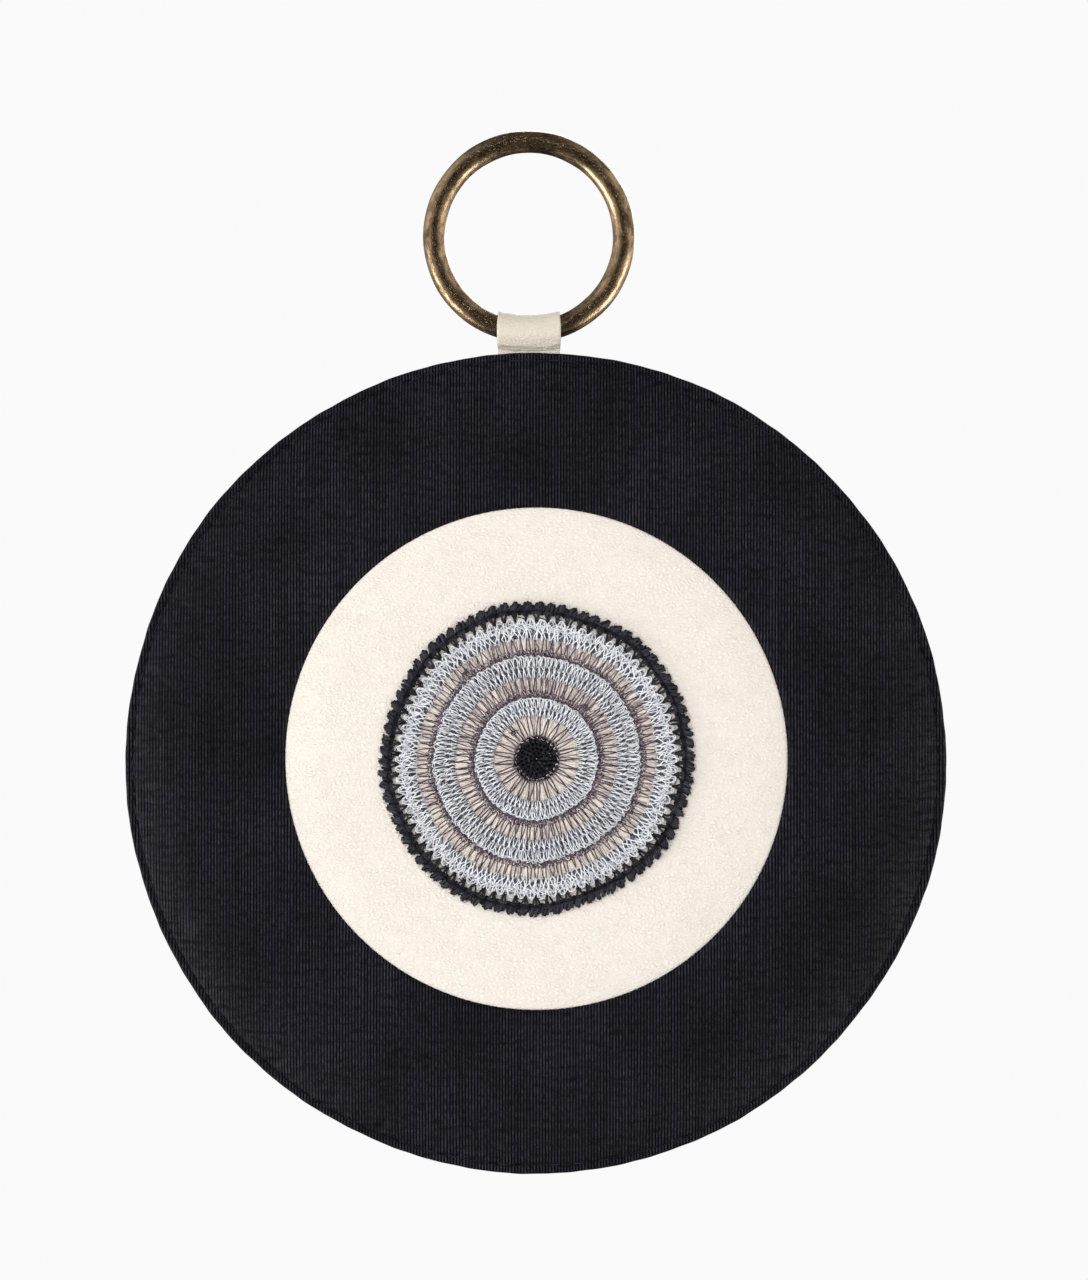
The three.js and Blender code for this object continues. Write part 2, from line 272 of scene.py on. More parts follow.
# ---- materials ----
class Look:
    """A procedural material: a Principled shader, and helpers that add nodes in front of it."""

    def __init__(self, name, **sockets):
        self.material = bpy.data.materials.new(name)
        self.material.use_nodes = True
        self.tree = self.material.node_tree
        self.shader = self.tree.nodes["Principled BSDF"]
        for socket, value in sockets.items():
            self.set(self.shader, socket.replace("_", " "), value)

    def set(self, node, socket, value):
        target = node.inputs[socket]
        if isinstance(value, bpy.types.NodeSocket):
            self.tree.links.new(value, target)
        elif isinstance(value, tuple) and len(value) == 3 and target.type == "RGBA":
            target.default_value = (*value, 1.0)
        else:
            target.default_value = value

    def node(self, kind, output=0, sockets=None, **settings):
        made = self.tree.nodes.new("ShaderNode" + kind)
        for key, value in settings.items():
            setattr(made, key, value)
        for socket, value in (sockets or {}).items():
            self.set(made, socket, value)
        return made.outputs[output]

    def math(self, operation, a, b=0.0, c=0.0):
        return self.node("Math", 0, {0: a, 1: b, 2: c}, operation=operation)

    def times(self, a, b):
        return self.math("MULTIPLY", a, b)

    def scaled(self, a, factor, shift):
        return self.math("MULTIPLY_ADD", a, factor, shift)

    def mix(self, share, a, b):
        """A colour between a and b."""
        sockets = {"Factor": share, 6: a, 7: b}
        return self.node("Mix", 2, sockets, data_type="RGBA")

    def levels(self, value, low, high, to_low=0.0, to_high=1.0):
        sockets = {0: value, 1: low, 2: high, 3: to_low, 4: to_high}
        return self.node("MapRange", 0, sockets, clamp=True)

    def place(self, kind="Object"):
        return self.node("TexCoord", kind)

    def axis(self, number, place):
        return self.node("SeparateXYZ", number, {0: place})

    def stretched(self, place, scale):
        return self.node("Mapping", 0, {"Vector": place, "Scale": scale})

    def noise(self, place, scale, detail=3.0, rough=0.5, distortion=0.0):
        sockets = {"Vector": place, "Scale": scale, "Detail": detail, "Roughness": rough}
        sockets["Distortion"] = distortion
        return self.node("TexNoise", 0, sockets)

    def grain(self, place, scale, detail=3.0, rough=0.5, distortion=0.0):
        """Noise with its own scale along each axis."""
        return self.noise(self.stretched(place, scale), 1.0, detail, rough, distortion)

    def bump(self, height, distance, strength=1.0, under=None):
        sockets = {"Height": height, "Distance": distance, "Strength": strength}
        if under is not None:
            sockets["Normal"] = under
        return self.node("Bump", 0, sockets)

    def finish(self, colour=None, roughness=None, normal=None):
        for socket, value in (("Base Color", colour), ("Roughness", roughness), ("Normal", normal)):
            if value is not None:
                self.set(self.shader, socket, value)
        return self.material


def faille_look(name):
    """Black ribbed silk: ribs down the cloth, painted lighter on their crests and darker between them as
    painted shade, crossed by the short wavy lines of its watermark.
    """
    rib_pitch = 0.93 * MM
    watermark_pitch = 2.7 * MM
    look = Look(name, Specular_IOR_Level=0.08)
    place = look.place()
    x = look.axis(0, place)
    sway = look.grain(place, (50.0, 1.0, 10.0), 2.0)
    phase = look.scaled(x, TURN / rib_pitch, look.times(sway, 5.0))
    ribs = look.scaled(look.math("SINE", phase), 0.5, 0.5)
    stripes = look.grain(place, (900.0, 1.0, 26.0), 2.0)
    dashes = look.grain(place, (1075.0, 1.0, 560.0), 2.0)
    z = look.axis(2, place)
    drift = look.grain(place, (70.0, 1.0, 150.0), 4.0, 0.6)
    ripple = look.scaled(z, TURN / watermark_pitch, look.times(drift, 22.0))
    there = look.levels(look.grain(place, (170.0, 1.0, 420.0), 2.0), 0.36, 0.66)
    lines = look.levels(look.math("SINE", ripple), -1.0, 0.3)
    lines = look.math("MAXIMUM", lines, look.math("SUBTRACT", 1.0, there))
    cloudy = look.levels(look.noise(place, 26.0, 3.0), 0.3, 0.7)
    # Painted shade on the ribs: the crests are painted lighter and the grooves darker.
    rib_painted_shading = look.levels(ribs, 0.3, 1.0, 0.0, 1.25)
    tone = look.times(rib_painted_shading, look.levels(stripes, 0.3, 0.7, 0.5, 1.0))
    tone = look.times(tone, look.levels(dashes, 0.33, 0.67, 0.35, 1.1))
    tone = look.times(tone, look.scaled(lines, 0.55, 0.42))
    tone = look.times(tone, look.scaled(cloudy, 0.6, 0.68))
    height = look.math("ADD", look.times(ribs, 0.8), look.times(lines, 0.5))
    normal = look.bump(look.scaled(dashes, 0.3, height), 0.14 * MM, 0.8)
    roughness = look.levels(lines, 0.0, 1.0, 0.7, 0.45)
    return look.finish(look.mix(tone, *FAILLE), roughness, normal)


def leather_look(name, colour, grain, relief, creases=()):
    """Soft pebbled hide, a little blotched, with pores, and painted shade that darkens the valleys between
    its pebbles. grain is the size of a pebble and relief its height, in millimetres. creases are the heights
    of wrinkles that cross it, each painted dark along its line as shade."""
    look = Look(name, Specular_IOR_Level=0.4)
    place = look.place()
    slanted = look.node("Mapping", 0, {"Vector": place, "Rotation": (0, 0.6, 0), "Scale": (0.75, 0.3, 1.25)})
    warp = look.noise(place, 700.0, 2.0)
    moved = look.node("MixRGB", 0, {0: 0.0009, 1: slanted, 2: warp}, blend_type="ADD")
    pebbles = {"Vector": moved, "Scale": 1000.0 / grain}
    valley = look.levels(look.node("TexVoronoi", 0, pebbles, feature="DISTANCE_TO_EDGE"), 0.0, 0.32, 1.0, 0.0)
    broad = look.noise(slanted, 380.0 / grain, 3.0)
    valley = look.times(valley, look.levels(broad, 0.35, 0.6, 0.65, 1.0))
    pores = look.noise(place, 2600.0, 2.0)
    height = look.scaled(broad, 0.4, look.times(valley, -0.9))
    height = look.scaled(pores, 0.15, height)
    normal = look.bump(height, relief * MM, 1.0)
    blotch = look.levels(look.noise(place, 26.0, 1.0), 0.3, 0.7)
    pale = tuple(min(1.0, c * 1.02) for c in colour)
    pinker = (colour[0], colour[1] * 0.99, colour[2] * 0.985)
    tint = look.mix(blotch, pale, pinker)
    # Painted shade: the valleys between the pebbles are painted darker.
    tint_with_painted_shade = look.mix(look.times(valley, 0.22), tint, tuple(c * 0.78 for c in colour))
    x, z = look.axis(0, place), look.axis(2, place)
    sagging = look.scaled(look.times(x, x), -9.0, z)
    for crease in creases:
        bends = look.grain(place, (190.0, 1.0, 40.0 * crease), 3.0, 0.6)
        wander = look.scaled(bends, 1.6 * MM, sagging)
        off = look.math("ABSOLUTE", look.math("SUBTRACT", wander, (crease + 0.3) * MM))
        line = look.levels(off, 0.05 * MM, 0.34 * MM, 1.0, 0.0)
        # Painted shade along the crease: its line is painted dark.
        tint_with_painted_shade = look.mix(look.times(line, 0.62), tint_with_painted_shade, tuple(c * 0.3 for c in colour))
        normal = look.bump(line, -0.12 * MM, 0.8, normal)
    roughness = look.levels(broad, 0.3, 0.7, 0.38, 0.58)
    return look.finish(tint_with_painted_shade, roughness, normal)


def brass_look(name):
    """Antique brass: dark brown patina, worn through to the metal in streaks and along scratches."""
    look = Look(name, Metallic=1.0)
    lay = look.place("UV")
    u = look.axis(0, lay)
    v = look.axis(1, lay)
    angle = look.times(v, TURN)
    side = look.times(look.math("COSINE", angle), WIRE_R)
    depth = look.times(look.math("SINE", angle), WIRE_R)
    wrapped = look.node("CombineXYZ", 0, {0: u, 1: side, 2: depth})
    patches = look.grain(wrapped, (0.14, 0.3, 0.3), 5.0, 0.7)
    streaks = look.grain(wrapped, (0.5, 2.2, 2.2), 4.0, 0.65)
    specks = look.noise(wrapped, 2.1, 5.0, 0.75)
    scratches = look.noise(look.stretched(wrapped, (1.1, 0.6, 4.0)), 1.4, 2.0, 0.5, 1.6)
    scored = look.levels(scratches, 0.655, 0.69)
    mottle = look.grain(wrapped, (0.13, 0.24, 0.24), 3.0, 0.62)
    blotches = look.levels(mottle, 0.36, 0.52)
    worn = look.scaled(patches, 0.9, look.times(streaks, 0.22))
    worn = look.scaled(specks, 0.6, look.math("ADD", worn, -0.05))
    share = look.levels(worn, 0.62, 0.9, 0.06, 1.0)
    share = look.times(share, look.scaled(blotches, 0.7, 0.3))
    share = look.math("MAXIMUM", share, look.times(scored, 0.85))
    colour = look.mix(share, PATINA, BRASS)
    roughness = look.levels(share, 0.0, 1.0, 0.32, 0.16)
    height = look.scaled(specks, 0.5, look.times(patches, 0.8))
    height = look.scaled(scored, -0.5, height)
    return look.finish(colour, roughness, look.bump(height, 0.14 * MM, 0.8))


def yarn_look(name, colours, ply, metallic=0.0, roughness=0.6, glints=0.0, sheen=0.4):
    """Twisted yarn. Its plies wind round it once in ply millimetres, and shade, from the first of its three
    colours to the last, is the tone that each thread was laid with."""
    look = Look(name, Metallic=metallic, Specular_IOR_Level=sheen)
    lay = look.place("UV")
    u = look.axis(0, lay)
    v = look.axis(1, lay)
    turns = look.scaled(u, 2 / ply, look.times(v, 2.0))
    plies = look.math("ABSOLUTE", look.math("SINE", look.times(turns, math.pi)))
    tone = look.node("Attribute", 2, attribute_name="shade")
    fleck = look.noise(look.place(), 2400.0, 2.0)
    tone = look.math("ADD", tone, look.scaled(fleck, 0.5, -0.25))
    # Painted shade: the grooves between the plies are painted darker and their crowns lighter.
    tone = look.math("ADD", tone, look.scaled(plies, 0.3, -0.2))
    dark, middle, pale = colours
    colour = look.mix(look.levels(tone, 0.0, 0.5), dark, middle)
    colour = look.mix(look.levels(tone, 0.5, 1.0), colour, pale)
    # Near-white specks: partly the pale colour of the metallic fibres, partly painted glints.
    if glints:
        sparkle = look.levels(look.noise(look.place(), 3800.0, 1.0), 0.62, 0.7, 0.0, glints)
        colour = look.mix(sparkle, colour, (0.95, 0.96, 1.0))
    normal = look.bump(plies, 0.08 * MM, 0.8)
    return look.finish(colour, look.levels(fleck, 0.3, 0.7, roughness - 0.1, roughness + 0.1), normal)


def fibre_look(name, dark, pale, size, roughness=0.9):
    """Felted or pressed fibre, such as board and wadding. size is the fibre's scale in millimetres."""
    look = Look(name)
    place = look.place()
    strands = look.noise(look.stretched(place, (1.0, 2.2, 0.7)), 1000.0 / size, 5.0, 0.65, 0.8)
    colour = look.mix(look.levels(strands, 0.3, 0.7), dark, pale)
    rough = look.levels(strands, 0.2, 0.8, roughness - 0.08, roughness + 0.05)
    return look.finish(colour, rough, look.bump(strands, 0.2 * MM, 0.6))


def woven_look(name, dark, pale, pitch):
    """Plain weave. pitch is the distance between threads in millimetres."""
    look = Look(name)
    place = look.place()
    x = look.axis(0, place)
    z = look.axis(2, place)
    warp = look.math("SINE", look.times(x, math.pi / (pitch * MM)))
    weft = look.math("SINE", look.times(z, math.pi / (pitch * MM)))
    cloth = look.scaled(look.times(warp, weft), 0.5, 0.5)
    fuzz = look.noise(place, 1500.0, 3.0)
    colour = look.mix(look.times(cloth, fuzz), dark, pale)
    return look.finish(colour, look.levels(fuzz, 0.2, 0.8, 0.8, 0.95), look.bump(cloth, 0.1 * MM))


LOOKS = {
    "faille": faille_look("black_moire_faille"),
    "iris": leather_look("cream_iris_leather", IRIS_CREAM, 1.25, 0.19),
    "tab": leather_look("cream_tab_leather", TAB_CREAM, 1.0, 0.1, (FLEX_Z + 0.9, FLEX_Z + 0.1)),
    "brass": brass_look("antique_brass"),
    "black_thread": yarn_look("black_sewing_thread", THREAD, 0.8, 0.0, 0.45, sheen=0.15),
    "cotton": yarn_look("black_crochet_cotton", COTTON, 1.1, 0.0, 0.75, sheen=0.2),
    "silver": yarn_look("silver_cord", SILVER, 0.7, 0.25, 0.4, 0.8),
    "mauve": yarn_look("mauve_lurex", MAUVE, 0.6, 0.1, 0.45, 0.5),
    "board": fibre_look("grey_board", (0.16, 0.14, 0.12), (0.34, 0.31, 0.27), 0.9),
    "wadding": fibre_look("polyester_wadding", (0.62, 0.62, 0.6), (0.92, 0.92, 0.9), 1.6),
    "interlining": woven_look("fused_interlining", (0.012, 0.012, 0.014), (0.05, 0.05, 0.055), 0.35),
}


def dress(obj, look, slot, *nodes, body="disc"):
    """Gives a finished piece its material and its body, and hides the CAD nodes it stands for. slot is not
    used.
    """
    obj.data.materials.append(LOOKS[look])
    if body:
        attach(obj, body)
    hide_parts(*nodes)
    return obj


# ---- the padded disc ----
def crown(radius, flat, falls):
    """Depth of a face of the disc at a radius from its centre. falls is where it starts to fall, and how."""
    start, power = falls
    share = np.clip((radius - start) / (STITCH_R - start), 0, 1)
    return RIM_HALF + (flat - RIM_HALF) * (1 - share**power)


def settled(name, rest, held, flip):
    """Cloth over the wadding. It starts at rest, a grid of points, fixed where held is 1, and is let swell.
    Returns how far each point moved, at most MOST_SWELL. flip turns the faces, to point out of the disc."""
    rows, columns = rest.shape[:2]
    cloth_object = make_object(name, rest.reshape(-1, 3), [grid_faces(rows, columns, flip=flip)])
    group = cloth_object.vertex_groups.new(name="held")
    for row in range(rows):
        if held[row] > 0:
            group.add(list(range(row * columns, (row + 1) * columns)), float(held[row]), "REPLACE")
    cloth = cloth_object.modifiers.new("cloth", "CLOTH")
    for setting, value in CLOTH.items():
        setattr(cloth.settings, setting, value)
    cloth.settings.effector_weights.gravity = 0
    cloth.point_cache.frame_end = CLOTH_FRAMES
    scene = bpy.context.scene
    for step in range(1, CLOTH_FRAMES + 1):
        scene.frame_set(step)
    shown = cloth_object.evaluated_get(bpy.context.evaluated_depsgraph_get())
    moved = np.empty(rows * columns * 3, np.float32)
    shown.data.vertices.foreach_get("co", moved)
    bpy.data.objects.remove(cloth_object)
    scene.frame_set(1)
    move = moved.reshape(rest.shape) / MM - rest
    far = np.linalg.norm(move, axis=-1, keepdims=True)
    return move * np.minimum(1, MOST_SWELL / np.maximum(far, 1e-6))


def resampled(grid, rows_at, columns):
    """A grid's values at other rows and more columns. Its columns go once round."""
    old = np.arange(grid.shape[1] + 1) / grid.shape[1]
    closed = np.concatenate([grid, grid[:, :1]], axis=1)
    at = np.arange(columns) / columns
    i = np.minimum((at * grid.shape[1]).astype(int), grid.shape[1] - 1)
    t = ((at - old[i]) * grid.shape[1])[None, :, None]
    t = t * t * (3 - 2 * t)
    wide = closed[:, i] * (1 - t) + closed[:, i + 1] * t
    low = np.minimum(rows_at.astype(int), grid.shape[0] - 2)
    share = (rows_at - low)[:, None, None]
    return wide[low] * (1 - share) + wide[low + 1] * share


def cover_point(angle, radius, depth, side, centre=DISC_CENTRE):
    """A point of a face. depth is how far the face stands out from the disc's middle plane."""
    x = centre[0] + radius * np.cos(angle)
    z = centre[2] + radius * np.sin(angle)
    return np.stack([x, side * depth + 0 * x, z], axis=-1)


def rim_wave(angle):
    """How far the rim strays from a true circle."""
    waves = [(3, 0.16, 0.4), (5, 0.12, 2.1), (9, 0.1, 4.0)]
    waves += [(23, 0.05, 1.3), (57, 0.04, 5.2), (101, 0.035, 0.7)]
    return sum(size * np.sin(times * angle + start) for times, size, start in waves)


def near_tab(angle):
    """1 where the tab enters the rim, and 0 away from it."""
    across = np.abs(DISC_R * np.cos(angle) + DISC_CENTRE[0]) - TAB_W / 2
    return np.where(np.sin(angle) > 0, np.clip(1 - across / 3, 0, 1), 0)


def cover(name, side, flat, falls, inner, seam_drop=0.0):
    """A panel of the disc, from its inner edge over the crown and the row of stitches, round the rim and
    into the seam. inner gives the inner edge's radius at an angle."""
    angle = np.arange(CLOTH_COLUMNS) * TURN / CLOTH_COLUMNS
    share = np.linspace(0, 1, CLOTH_ROWS)[:, None]
    radius = inner(angle) + (STITCH_R - inner(angle)) * share
    rest = cover_point(angle, radius, crown(radius, flat, falls), side)
    held = np.zeros(CLOTH_ROWS)
    held[[0, -1]] = 1
    move = settled(name + "_cloth", rest, held, side < 0)

    # The fine surface, with close rows by the iris's seam and by the stitches, and a pucker at each stitch.
    columns = STITCHES * 4
    angle = np.arange(columns) * TURN / columns
    near_seam, middle = np.linspace(0, 0.06, 6), np.linspace(0.06, 0.86, 16)
    share = np.concatenate([near_seam[:-1], middle[:-1], np.linspace(0.86, 1, 12)])
    radius = inner(angle) + (STITCH_R - inner(angle)) * share[:, None]
    depth = crown(radius, flat, falls)
    from_seam = radius - inner(angle)
    depth = depth - seam_drop * np.exp(-((from_seam / 0.9) ** 1.5))
    from_row = STITCH_R - radius
    pucker = 0.5 + 0.5 * np.cos(angle * STITCHES)
    depth = depth + 0.16 * np.exp(-((from_row - 1.6) ** 2)) * pucker
    depth = depth - (0.16 + 0.14 * (1 - pucker)) * np.exp(-((from_row / 0.5) ** 2))
    ease = np.sin(math.pi * share)[:, None] ** 2
    depth = depth + 0.07 * ease * uneven(angle, radius)
    body = cover_point(angle, radius, depth, side)
    body = body + resampled(move, share * (CLOTH_ROWS - 1), columns)

    # The rim: a bead from the row of stitches to the edge, which turns in to the seam between the panels.
    edge = DISC_R + rim_wave(angle)
    tab = near_tab(angle)
    bead_depth = RIM_HALF + 0.1 + 0.05 * pucker + 0.3 * tab
    seam_depth = 0.06 + 0.46 * tab
    along = np.linspace(0, 1, 15)[1:, None]
    flat_part = np.minimum(along / 0.5, 1)
    turn = np.clip(along / 0.5 - 1, 0, 1) * math.pi / 2
    bead_radius = STITCH_R + (edge - STITCH_R) * (0.66 * flat_part + 0.34 * np.sin(turn))
    row_depth = depth[-1]
    bead = row_depth + (bead_depth - row_depth) * flat_part * (2 - flat_part)
    bead = bead + (seam_depth - bead) * (1 - np.cos(turn))
    rim = cover_point(angle, bead_radius, bead, side)
    return np.concatenate([body, rim]), columns


def uneven(angle, radius):
    """A slow unevenness of the cloth, about -1 to 1."""
    x, z = radius * np.cos(angle) / 100, radius * np.sin(angle) / 100
    broad = np.sin(7 * x + 3 * z + 1) * np.cos(5 * z - 4 * x)
    return broad + 0.6 * np.sin(17 * x - 11 * z) * np.sin(13 * z + 2)


def opening_edge(angle):
    """Radius of the iris's seam from the disc's centre: the iris sits a little off it."""
    shift = IRIS_CENTRE - DISC_CENTRE
    along = shift[0] * np.cos(angle) + shift[2] * np.sin(angle)
    off = shift[0] ** 2 + shift[2] ** 2 - along**2
    return along + np.sqrt((IRIS_R + 0.15) ** 2 - off)


def closed_disc(name, rows, centre, y, flip=False):
    """A disc of rows of points, closed by a fan of triangles about a middle point at y."""
    columns = rows.shape[1]
    around = np.arange(columns)
    hub = np.full(columns, rows.shape[0] * columns)
    fan = np.stack([hub, (around + 1) % columns, around], axis=-1)
    faces = [grid_faces(len(rows), columns, flip=flip), fan[:, [0, 2, 1]] if flip else fan]
    points = np.concatenate([rows.reshape(-1, 3), [[centre[0], y, centre[2]]]])
    return make_object(name, points, faces)


def front_cover():
    """The front panel, from the iris's seam to the rim."""
    points, columns = cover("front_cover", -1, -FACE_Y, FRONT_CROWN, opening_edge, SEAM_DROP)
    faces = grid_faces(len(points), columns, flip=True)
    obj = make_object("front_cover", points.reshape(-1, 3), [faces])
    dress(obj, "faille", "black_faille", "front_panel")
    return obj


def back_cover():
    """The back panel goes on inwards, flat over the board, to a point at its middle."""
    points, columns = cover("back_cover", 1, BACK_Y, BACK_CROWN, lambda a: BACK_MIDDLE_R + 0 * a)
    angle = np.arange(columns) * TURN / columns
    radius = np.array([2.0, 12.0, 26.0, 40.0, 55.0])[:, None] + 0 * angle
    flat = cover_point(angle, radius, BACK_Y + 0 * radius, 1)
    obj = closed_disc("back_cover", np.concatenate([flat, points]), DISC_CENTRE, BACK_Y)
    dress(obj, "faille", "black_faille", "back_panel")
    return obj


def topstitching(name, side, node):
    """The row of stitches round the rim. Each dips into the cloth at its two ends."""
    threads = Threads(5)
    pitch = TURN / STITCHES
    start = (np.arange(STITCHES) + 0.5) * pitch + rng.normal(0, 0.03, STITCHES) * pitch
    steps = 7
    along = np.linspace(0.08, 0.92, steps)
    angle = start[:, None] + along * pitch
    sway = rng.normal(0, 0.06, (STITCHES, 1)) + rng.normal(0, 0.06, (STITCHES, 1)) * (along - 0.5) * 2
    hump = np.sin(np.linspace(0, 1, steps) * math.pi).clip(0) ** 0.6
    depth = RIM_HALF - 0.42 + 0.5 * hump + 0 * angle
    row = cover_point(angle, STITCH_R + sway, depth, side)
    threads.lay(row, STITCH_THICK, rng.uniform(0.2, 1, STITCHES))
    return dress(threads.make(name), "black_thread", "black_thread", node)


def iris_leather():
    """The leather iris: nearly flat, rolling over at its edge down into the seam."""
    columns = 360
    angle = np.arange(columns) * TURN / columns
    lip_start, lip_reach = IRIS_R - IRIS_LIP, IRIS_LIP + 0.05
    over_edge = lip_start + lip_reach * np.sin(np.linspace(0, 0.5, 8) * math.pi)
    radius = np.concatenate([[1.5, 12, 24, 36, 48, 56, IRIS_FLAT_R], np.linspace(66, 74, 9), over_edge])
    roll = np.clip((radius - IRIS_FLAT_R) / (IRIS_R - IRIS_FLAT_R), 0, 1)
    edge = np.clip((radius - lip_start) / lip_reach, 0, 1)
    depth = -IRIS_FACE - 0.85 * roll**2.2 - 0.4 * (1 - np.sqrt(1 - edge**2 * 0.999))
    soft = 0.05 * np.sin(3 * angle + 1) * roll[:, None] + 0.03 * np.sin(17 * angle) * roll[:, None] ** 4
    rows = cover_point(angle, radius[:, None] + 0 * angle, depth[:, None] + soft, -1, IRIS_CENTRE)
    obj = closed_disc("iris_leather", rows, IRIS_CENTRE, -depth[0], flip=True)
    dress(obj, "iris", "iris_leather", "iris_disc")
    return obj


def iris_seam():
    """The thread down in the seam round the iris, stitch by stitch."""
    count = 190
    threads = Threads(4)
    start = np.arange(count) * TURN / count
    along = np.linspace(0, 1, 7)
    angle = start[:, None] + along * 0.86 * TURN / count
    depth = -box_mm("iris_seam_thread")[1][1] - 0.35 + 0.12 * np.sin(math.pi * along) + 0 * angle
    threads.lay(cover_point(angle, IRIS_R + 0.05 + 0 * angle, depth, -1, IRIS_CENTRE), 0.3, 0.2)
    stitches = threads.make("iris_seam_stitches")
    return dress(stitches, "black_thread", "black_thread", "iris_seam_thread")


# ---- the crocheted eye ----
def eye_wave(angle):
    """How far the hand-worked rounds stray from true circles, as a share of their radius."""
    waves = [(2, 0.006, 0.3), (3, 0.008, 1.9), (5, 0.006, 4.4), (8, 0.004, 0.9), (13, 0.003, 2.6)]
    return sum(size * np.sin(times * angle + start) for times, size, start in waves)


def on_eye(angle, radius, height):
    """A point of the crochet. height is above the leather."""
    radius = radius * (1 + eye_wave(angle))
    return cover_point(angle, radius, -IRIS_FACE + height, -1, IRIS_CENTRE)


def work(threads, count, band, strand, thick, shade=0.5, stray=0.06, first=0.0, bends=7, shadow=0.55):
    """Lays one strand of a stitch at every place of a round, which lies in a band from one radius to another.
    A strand is a list of (across, out, high): across in stitches, out from the inner edge of the band, 0, to
    the outer one, 1, and high in millimetres. Threads that lie low, in shadow, are darker."""
    shape = np.repeat(np.asarray(strand, float)[None], count, axis=0)
    shape = shape + rng.normal(0, stray, shape.shape) * np.array([1.0, 0.6, 0.5])
    shape[..., 0] += (np.arange(count) + first + rng.normal(0, stray, count))[:, None]
    path = smooth_path(shape, bends)
    angle = path[..., 0] * TURN / count
    radius = band[0] + path[..., 1] * (band[1] - band[0])
    height = np.maximum(path[..., 2], thick / 2)
    tone = shade + rng.normal(0, 0.12, (count, 1)) + shadow * (height - 0.75)
    threads.lay(on_eye(angle, radius, height), thick, np.clip(tone, 0, 1))


def mirrored(strand):
    return [(-across, out, high) for across, out, high in strand]


def fuzz(threads, count, band, thick, high, shade, kept=None, lean=0.5):
    """Fine loose threads across a band. kept gives the share of them that stay at an angle."""
    angle = rng.uniform(0, TURN, count)
    if kept is not None:
        angle = angle[rng.uniform(0, 1, count) < kept(angle)]
    n = len(angle)
    out = np.linspace(0, 1, 5)
    reach = rng.normal(0, lean, (n, 1)) * (band[1] - band[0]) / band[1]
    path_angle = angle[:, None] + reach * (out - 0.5) + rng.normal(0, 0.12, (n, 5)) / band[1]
    radius = band[0] + (band[1] - band[0]) * out + 0 * path_angle
    height = rng.uniform(*high, (n, 1)) + 0.1 * np.sin(math.pi * out)
    tone = np.clip(shade + rng.normal(0, 0.18, n), 0, 1)
    threads.lay(on_eye(path_angle, radius, height), thick, tone)


def knot(threads, angle, radius):
    """The lumpy join of a round: a few short tangled loops, painted darker where they lie low, as shade."""
    loops, size = 5, 0.75
    spots = rng.normal(0, 1, (loops, 5, 3)) * np.array([0.8 * size / radius, 0.55 * size, 0.25])
    spots = spots + np.array([angle, radius, 0.9])
    path = smooth_path(spots, 12)
    height = np.maximum(path[..., 2], 0.3)
    tone = np.clip(0.5 * (height - 0.9), 0, 1)
    threads.lay(on_eye(path[..., 0], path[..., 1], height), 0.3, tone)


# Strands of the silver stitches: a post of two strands that cross, and the chain of loops that heads it.
POST = [(-0.2, -0.06, 0.45), (-0.2, 0.2, 0.95), (0.02, 0.6, 1.05), (0.16, 1.05, 0.5)]
SLANT = [(-0.45, 0.5, 0.35), (-0.15, 0.62, 0.85), (0.15, 0.86, 0.9), (0.4, 1.0, 0.4)]
HEAD_LEFT = [(-0.28, -0.1, 0.5), (-0.3, 0.35, 1.05), (-0.06, 0.85, 1.15), (0.25, 0.95, 0.75), (0.4, 0.7, 0.4)]
HEAD_RIGHT = [(0.3, -0.05, 0.5), (0.2, 0.3, 0.95), (0.34, 0.75, 1.1), (0.68, 1.0, 0.85), (0.85, 0.8, 0.4)]
CHAIN = [(-0.35, 0.72, 0.4), (-0.1, 0.98, 0.85), (0.3, 1.02, 0.95), (0.62, 0.8, 0.4)]

# A strand of the lace: a leg, whose mirror image leans towards it at the top.
LEG = [(-0.27, -0.02, 0.3), (-0.25, 0.3, 0.34), (-0.12, 0.75, 0.36), (-0.03, 1.05, 0.25)]


def silver_round(name, node, count, inner, outer):
    """A row of trebles, over dark threads that stand for the shadow inside it."""
    threads = Threads(4)
    thick = 0.35
    middle = inner + 0.52 * (outer - inner)
    fuzz(threads, count * 6, (inner, outer), 0.45, (0.15, 0.3), 0.0, lean=0.8)
    lower, upper = (inner, middle), (middle, outer)
    work(threads, count, lower, POST, thick, 0.85)
    work(threads, count, lower, mirrored(POST), thick, 0.75, first=0.06)
    work(threads, count, lower, SLANT, thick * 0.9, 0.75, 0.12)
    work(threads, count, upper, HEAD_LEFT, thick, 0.85, 0.11)
    work(threads, count, upper, HEAD_RIGHT, thick, 0.8, 0.11)
    work(threads, count, upper, mirrored(HEAD_LEFT), thick * 0.9, 0.7, 0.14, first=0.5)
    work(threads, count, upper, CHAIN, thick * 0.9, 0.75, 0.14)
    return dress(threads.make(name), "silver", "silver_cord", node)


